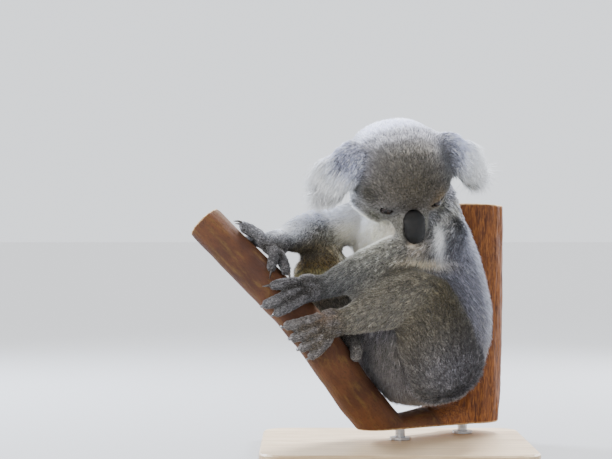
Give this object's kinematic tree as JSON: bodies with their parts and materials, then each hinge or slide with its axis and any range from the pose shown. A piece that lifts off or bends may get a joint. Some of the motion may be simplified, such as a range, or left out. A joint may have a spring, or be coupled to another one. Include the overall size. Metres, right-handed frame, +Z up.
{
  "type": "koala",
  "caption": "Life-size koala with its head bowed, sitting in the fork of a cut gum branch and holding it, on a flat display stand.",
  "frame": {"origin": "centre of the display stand's underside, on the floor", "axes": "+Z up; -Y is the display side that the koala's face turns to; +X is to the right as seen from there; the body faces -X and -Y"},
  "size_m": [0.4752, 0.3259, 0.471],
  "materials": {
    "fur_grey": "matte",
    "fur_pale": "matte",
    "nose_leather": "satin",
    "eye": "gloss",
    "claw": "satin",
    "bark": "matte",
    "board": "satin",
    "steel": "brushed"
  },
  "bodies": {
    "root": {"stand_base": "board", "stand_rod_1": "steel", "stand_collar_1": "steel", "stand_rod_2": "steel", "stand_collar_2": "steel", "perch": "bark", "nose": "nose_leather", "eye_left": "eye", "eye_right": "eye", "head": "fur_grey", "ear_left": "fur_pale", "ear_right": "fur_pale", "hand_left": "fur_grey", "claw_hand_left_1": "claw", "claw_hand_left_2": "claw", "claw_hand_left_3": "claw", "claw_hand_left_4": "claw", "claw_hand_left_5": "claw", "foot_left": "fur_grey", "claw_foot_left_1": "claw", "claw_foot_left_2": "claw", "claw_foot_left_3": "claw", "claw_foot_left_4": "claw", "hand_right": "fur_grey", "claw_hand_right_1": "claw", "claw_hand_right_2": "claw", "claw_hand_right_3": "claw", "claw_hand_right_4": "claw", "claw_hand_right_5": "claw", "foot_right": "fur_grey", "claw_foot_right_1": "claw", "claw_foot_right_2": "claw", "claw_foot_right_3": "claw", "claw_foot_right_4": "claw", "trunk": "fur_grey", "forearm_left": "fur_grey", "upper_arm_left": "fur_grey", "forearm_right": "fur_grey", "upper_arm_right": "fur_grey", "neck": "fur_pale", "shin_left": "fur_grey", "thigh_left": "fur_grey", "shin_right": "fur_grey", "thigh_right": "fur_grey"}
  },
  "joints": []
}
